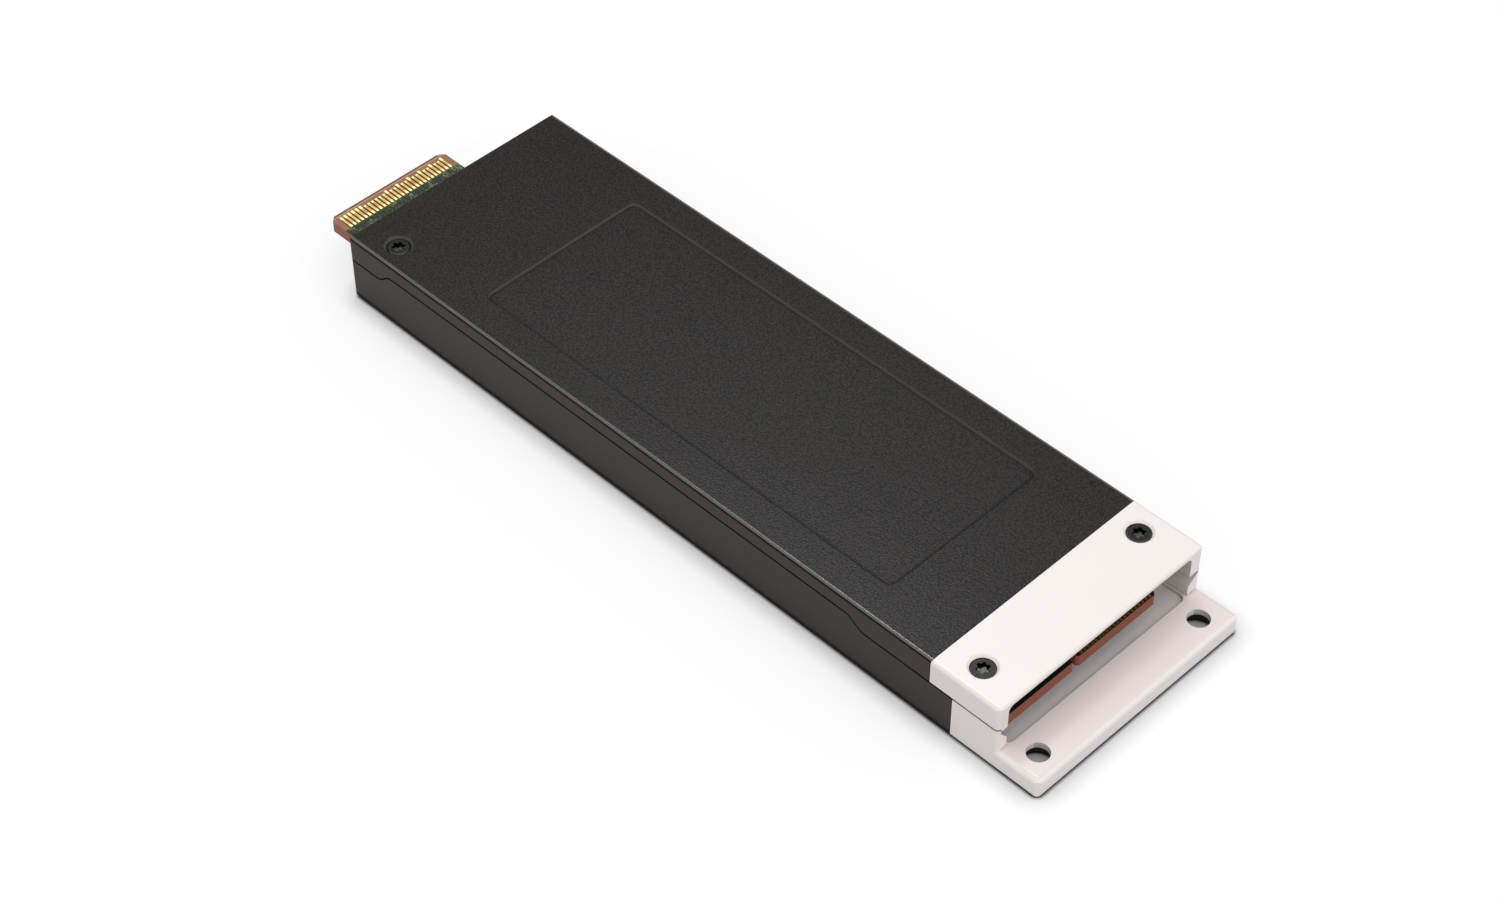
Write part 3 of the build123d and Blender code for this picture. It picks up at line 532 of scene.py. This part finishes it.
def gold_plate():
    """Hard gold over nickel: pale warm metal, brightest at the ends of a card contact.

    Its brightness at the ends of a card contact is a painted highlight. It is ambered along the
    middle of each and has painted shade on its flanks. The test contacts are one dull gold.
    """
    material, tree, shader, spot = new_material("gold_plate", "F6DFA0", 0.25, 0.85)
    xyz = add(tree, "SeparateXYZ", {0: spot}).outputs
    # Painted highlights at both ends of each card contact, not on the test contacts
    root = add(tree, "MapRange", {0: xyz["X"], 1: (CONTACT_HIGH[0] - ROOT_BEGINS) * MM,
                                  2: (CONTACT_HIGH[0] - ROOT_WHOLE) * MM}).outputs[0]
    tip = add(tree, "MapRange", {0: xyz["X"], 1: (CONTACT_LOW[0] + TIP_BEGINS) * MM,
                                 2: (CONTACT_LOW[0] + TIP_WHOLE) * MM}).outputs[0]
    ends = add(tree, "Math", {0: root, 1: tip}, operation="MAXIMUM").outputs[0]
    at_card = add(tree, "Math", {0: xyz["X"], 1: 0.0}, operation="LESS_THAN").outputs[0]
    ends = add(tree, "Math", {0: ends, 1: at_card}, operation="MULTIPLY").outputs[0]
    brushed = add(tree, "VectorMath", {0: spot, 1: BRUSH_STRETCH}, operation="MULTIPLY").outputs[0]
    streaks = add(tree, "TexNoise", {"Vector": brushed, "Scale": 1 / (BRUSH * MM),
                                     "Detail": 2.0}).outputs[0]
    streaks = add(tree, "MapRange", {0: streaks, 1: BRUSH_BEGINS, 2: BRUSH_WHOLE}).outputs[0]
    streaks = add(tree, "Math", {0: streaks, 1: BRUSH_SHARE}, operation="MULTIPLY").outputs[0]
    pale = add(tree, "Math", {0: ends, 1: streaks}, operation="MAXIMUM").outputs[0]

    # How far a spot is from the middle line of its contact, in shares of the pitch
    row = add(tree, "Math", {0: xyz["Y"], 1: 1 / (CONTACT_PITCH * MM),
                             2: -(CONTACT_LOW[1] + FINGER_WIDTH / 2) / CONTACT_PITCH},
              operation="MULTIPLY_ADD").outputs[0]
    from_middle = add(tree, "Math", {0: row, 1: 0.5}, operation="PINGPONG").outputs[0]
    reach = FINGER_WIDTH / 2 / CONTACT_PITCH
    # Painted shade on the flanks of each card contact
    flank_shade = add(tree, "MapRange", {0: from_middle, 1: FLANK_BEGINS * reach,
                                   2: FLANK_WHOLE * reach}).outputs[0]
    flank_shade = add(tree, "Math", {0: flank_shade, 1: at_card}, operation="MULTIPLY").outputs[0]

    colour = add(tree, "Mix", {0: pale, 6: "B08848", 7: "FAE3A0"}, data_type="RGBA").outputs[2]
    colour = add(tree, "Mix", {0: flank_shade, 6: colour, 7: "7C5210"}, data_type="RGBA").outputs[2]
    colour = add(tree, "Mix", {0: at_card, 6: "A07A3C", 7: colour}, data_type="RGBA").outputs[2]
    tree.links.new(colour, shader.inputs["Base Color"])
    rough = add(tree, "MapRange", {0: streaks, 3: GOLD_ROUGHNESS, 4: BRUSHED_ROUGHNESS}).outputs[0]
    tree.links.new(rough, shader.inputs["Roughness"])
    return material


# Screws: size and depth of the marks on them, and how far below a head's top its recess begins
SCREW_MARK = 0.2
SCREW_MARK_DEPTH = 0.008
RECESS_DROP = 0.3

# Roughness of the screws, over the marks' noise between the first two values
MARK_LOW, MARK_HIGH = 0.3, 0.7
SMOOTHEST, ROUGHEST = 0.24, 0.34


def black_oxide_steel():
    """Blackened steel of the screws: near black with a dull oily sheen.

    It is worn to grey in the driver recess, has painted highlights on the chamfers, and painted shade
    on its steep faces.
    """
    material, tree, shader, spot = new_material("black_oxide_steel", "242424", 0.3, 1.0)
    xyz = add(tree, "SeparateXYZ", {0: spot}).outputs
    marks = add(tree, "TexNoise", {"Vector": spot, "Scale": 1 / (SCREW_MARK * MM),
                                   "Detail": 3.0}).outputs[0]
    relief = add(tree, "Bump", {"Height": marks, "Distance": SCREW_MARK_DEPTH * MM}).outputs[0]
    tree.links.new(relief, shader.inputs["Normal"])
    deep = add(tree, "Math", {0: xyz["Z"], 1: (SCREW_TOP - RECESS_DROP) * MM},
               operation="LESS_THAN").outputs[0]
    normal = add(tree, "NewGeometry").outputs["Normal"]
    up = add(tree, "SeparateXYZ", {0: normal}).outputs["Z"]
    steep_shade = add(tree, "Math", {0: up, 1: STEEP}, operation="LESS_THAN").outputs[0]
    chamfer_highlight = add(tree, "Math", {0: up, 1: CHAMFERED, 2: CHAMFERED_REACH},
                    operation="COMPARE").outputs[0]
    colour = add(tree, "Mix", {0: deep, 6: "242423", 7: "403E3C"}, data_type="RGBA").outputs[2]
    # Painted shade on steep faces and painted highlights on the chamfers
    for place, tone in ((steep_shade, "080808"), (chamfer_highlight, "4C4A48")):
        colour = add(tree, "Mix", {0: place, 6: colour, 7: tone}, data_type="RGBA").outputs[2]
    tree.links.new(colour, shader.inputs["Base Color"])
    rough = add(tree, "MapRange", {0: marks, 1: MARK_LOW, 2: MARK_HIGH, 3: SMOOTHEST,
                                   4: ROUGHEST}).outputs[0]
    tree.links.new(rough, shader.inputs["Roughness"])
    return material


# How deep the grain of the pieces inside is
GRAIN_DEPTH = 0.01


def grained(name, first, second, size, roughness, metallic=0.0):
    """Plain finish of a piece inside: it drifts between two colours over a fine grain."""
    material, tree, shader, spot = new_material(name, first, roughness, metallic)
    grain = add(tree, "TexNoise", {"Vector": spot, "Scale": 1 / (size * MM),
                                   "Detail": 3.0}).outputs[0]
    colour = add(tree, "Mix", {0: grain, 6: first, 7: second}, data_type="RGBA").outputs[2]
    tree.links.new(colour, shader.inputs["Base Color"])
    relief = add(tree, "Bump", {"Height": grain, "Distance": GRAIN_DEPTH * MM}).outputs[0]
    tree.links.new(relief, shader.inputs["Normal"])
    return material


def dress_frame():
    """Gives each node of the frame its finish, by the record's slot and by name."""
    finishes = {
        "white_casting": satin_white_coat(),
        "laminate": masked_laminate(),
        "gold_plate": gold_plate(),
        "black_steel": black_oxide_steel(),
        # Moulded epoxy is flat black with a faint sandy tooth
        "package": grained("moulded_epoxy", "1E1E20", "28282A", 0.12, 0.6),
        # A drawn nickel can is bright and slightly streaked
        "crystal_can": grained("nickel_can", "B5B2AC", "C9C6C0", 0.4, 0.32, 1.0),
        # A filled silicone pad is soft, matt and grey-blue
        "heat_pad": grained("silicone_pad", "8F98A0", "A0A9B0", 0.2, 0.85),
        # Fired ceramic is tan and dense
        "ceramic_body": grained("fired_ceramic", "9A7A5A", "B08F6C", 0.15, 0.5),
        # The capacitors' moulding is a warm near-black
        "capacitor_moulding": grained("moulded_body", "33302C", "3D3934", 0.15, 0.55),
        # Pressed ferrite powder is a dull dark grey
        "ferrite": grained("pressed_ferrite", "4A4A4C", "58585A", 0.1, 0.7),
    }
    covers = {"top_cover": textured_black_coat(), "bottom_case": plain_black_coat()}
    for entry in frame["record"]["subparts"]:
        name = entry["node"]
        finish = covers.get(name) or finishes[entry["material_slot"]]
        slots = nodes[name].data.materials
        slots.clear()
        slots.append(finish)


# Floor: its side, how far it lies below the module, its grey paint, and the light that it gives
# off to look white
FLOOR_SIDE = 4000.0
FLOOR_DROP = 0.02
FLOOR_PAINT = "A8A8A8"
FLOOR_WHITENESS = 0.62

# Its shade at the module: how far that reaches, how quickly it deepens, and how far the black
# line right at the foot reaches
CONTACT_SHADE = 3.0
SHADE_POWER = 1.2
NIP = 0.5


def pale_floor():
    """Wide pale floor: white to the eye, and it keeps the module's shadow.

    Its paint is grey, and what it lacks to white is added for the rays that show it. That
    addition fades within CONTACT_SHADE of the module, so that the shadow stays dark at its foot.
    """
    half = FLOOR_SIDE / 2 * MM
    mesh = bpy.data.meshes.new("floor")
    z = -FLOOR_DROP * MM
    corners = [(-half, -half, z), (half, -half, z), (half, half, z), (-half, half, z)]
    mesh.from_pydata(corners, [], [(0, 1, 2, 3)])
    floor = bpy.data.objects.new("floor", mesh)
    bpy.context.scene.collection.objects.link(floor)
    material = bpy.data.materials.new("grey_floor_paint")
    material.use_nodes = True
    tree = material.node_tree
    tree.nodes.clear()
    rays = add(tree, "LightPath").outputs
    seen = add(tree, "Math", {0: rays["Is Camera Ray"], 1: rays["Is Glossy Ray"]},
               operation="MAXIMUM").outputs[0]
    seen = add(tree, "Math", {0: seen, 1: rays["Is Transmission Ray"]},
               operation="MAXIMUM").outputs[0]
    openness = add(tree, "AmbientOcclusion", {"Distance": CONTACT_SHADE * MM},
                   samples=LOOK_RAYS).outputs["AO"]
    openness = add(tree, "Math", {0: openness, 1: SHADE_POWER}, operation="POWER").outputs[0]
    glow = add(tree, "Math", {0: seen, 1: openness}, operation="MULTIPLY").outputs[0]
    glow = add(tree, "Math", {0: glow, 1: FLOOR_WHITENESS}, operation="MULTIPLY").outputs[0]
    # Painted shadow: at the module's foot the floor's paint goes black and its added white fades
    nip = add(tree, "AmbientOcclusion", {"Distance": NIP * MM}, samples=LOOK_RAYS).outputs["AO"]
    nip = add(tree, "MapRange", {0: nip, 1: FLOOR_SHUT, 2: FLOOR_OPEN}).outputs[0]
    glow = add(tree, "Math", {0: glow, 1: nip}, operation="MULTIPLY").outputs[0]
    paint = add(tree, "Mix", {0: nip, 6: "000000", 7: FLOOR_PAINT}, data_type="RGBA").outputs[2]
    paint = add(tree, "BsdfDiffuse", {"Color": paint}).outputs[0]
    white = add(tree, "Emission", {"Color": "FFFFFF", "Strength": glow}).outputs[0]
    both = add(tree, "AddShader", {0: paint, 1: white}).outputs[0]
    add(tree, "OutputMaterial", {"Surface": both})
    mesh.materials.append(material)


# Sky: its level, how much brighter it is towards one side and overhead, and that side's azimuth
SKY = 0.95
SKY_LEAN = 0.35
SKY_LEAN_AZIMUTH = 70.0
SKY_RISE = 0.2

# Lamps: azimuth and elevation that each shines from, its distance, its side and its power
OVERHEAD_BOX = (150.0, 80.0, 1500.0, 1600.0, 2.0)
SHEEN_BOX = (232.0, 62.0, 1500.0, 300.0, 13.5)
SIDE_BOX = (-35.0, 30.0, 1000.0, 450.0, 0.4)


def direction(azimuth, elevation):
    """Unit vector from the module towards an azimuth and an elevation, both in degrees."""
    a, e = math.radians(azimuth), math.radians(elevation)
    return Vector((math.sin(a) * math.cos(e), -math.cos(a) * math.cos(e), math.sin(e)))


def soft_box(name, azimuth, elevation, distance, side, power):
    """Square area lamp that faces the module from a direction; returns its object."""
    lamp = bpy.data.lights.new(name, "AREA")
    lamp.shape = "SQUARE"
    lamp.size = side * MM
    lamp.energy = power
    holder = bpy.data.objects.new(name, lamp)
    back = direction(azimuth, elevation)
    turn = back.to_track_quat("Z", "Y").to_matrix().to_4x4()
    holder.matrix_world = Matrix.Translation(back * distance * MM) @ turn
    bpy.context.scene.collection.objects.link(holder)
    return holder


def studio_light():
    """White sky all round, and three soft boxes.

    The sky is a little brighter overhead and on the near latch-end side. A wide box hangs
    overhead, one behind the card end gives only the gloss on the lid, and a weak one at the near
    card-end side lights the long side. What the camera sees of the sky is plain white.
    """
    world = bpy.data.worlds.new("studio")
    world.use_nodes = True
    tree = world.node_tree
    tree.nodes.clear()
    rays = add(tree, "LightPath").outputs
    seen = add(tree, "Math", {0: rays["Is Camera Ray"], 1: rays["Is Transmission Ray"]},
               operation="MAXIMUM").outputs[0]
    way = add(tree, "TexCoord").outputs["Generated"]
    a = math.radians(SKY_LEAN_AZIMUTH)
    lean = (SKY_LEAN * math.sin(a), -SKY_LEAN * math.cos(a), SKY_RISE)
    slope = add(tree, "VectorMath", {0: way, 1: lean}, operation="DOT_PRODUCT").outputs["Value"]
    # The rise adds SKY_RISE * 2 / 3 to what a level face gets, which comes off again here
    level = add(tree, "Math", {0: slope, 1: SKY, 2: SKY * (1 - SKY_RISE * 2 / 3)},
                operation="MULTIPLY_ADD").outputs[0]
    strength = add(tree, "MapRange", {0: seen, 3: level, 4: 1.0}).outputs[0]
    sky = add(tree, "Background", {"Color": "FFFFFF", "Strength": strength}).outputs[0]
    add(tree, "OutputWorld", {"Surface": sky})
    bpy.context.scene.world = world
    soft_box("overhead_box", *OVERHEAD_BOX)
    sheen = soft_box("sheen_box", *SHEEN_BOX)
    sheen.visible_diffuse = False
    soft_box("side_box", *SIDE_BOX)


def aim_camera():
    """Camera at the photograph's viewing place."""
    back = direction(CAMERA_AZIMUTH, CAMERA_ELEVATION)
    a = math.radians(CAMERA_AZIMUTH)
    right = Vector((math.cos(a), math.sin(a), 0.0))
    up = back.cross(right)
    slide_x, slide_y = CAMERA_SLIDE
    target = Vector((0.0, 0.0, TARGET_HEIGHT))
    eye = target + back * CAMERA_DISTANCE + right * slide_x + up * slide_y
    lens = bpy.data.cameras.new("camera")
    lens.lens = CAMERA_LENS
    lens.sensor_width = SENSOR_WIDTH
    lens.clip_start = NEAR_CLIP * MM
    camera = bpy.data.objects.new("camera", lens)
    turn = Matrix((right, up, back)).transposed().to_4x4()
    camera.matrix_world = Matrix.Translation(eye * MM) @ turn
    bpy.context.scene.collection.objects.link(camera)
    bpy.context.scene.camera = camera


dress_frame()
pale_floor()
studio_light()
aim_camera()
bpy.context.scene.view_settings.view_transform = "Standard"
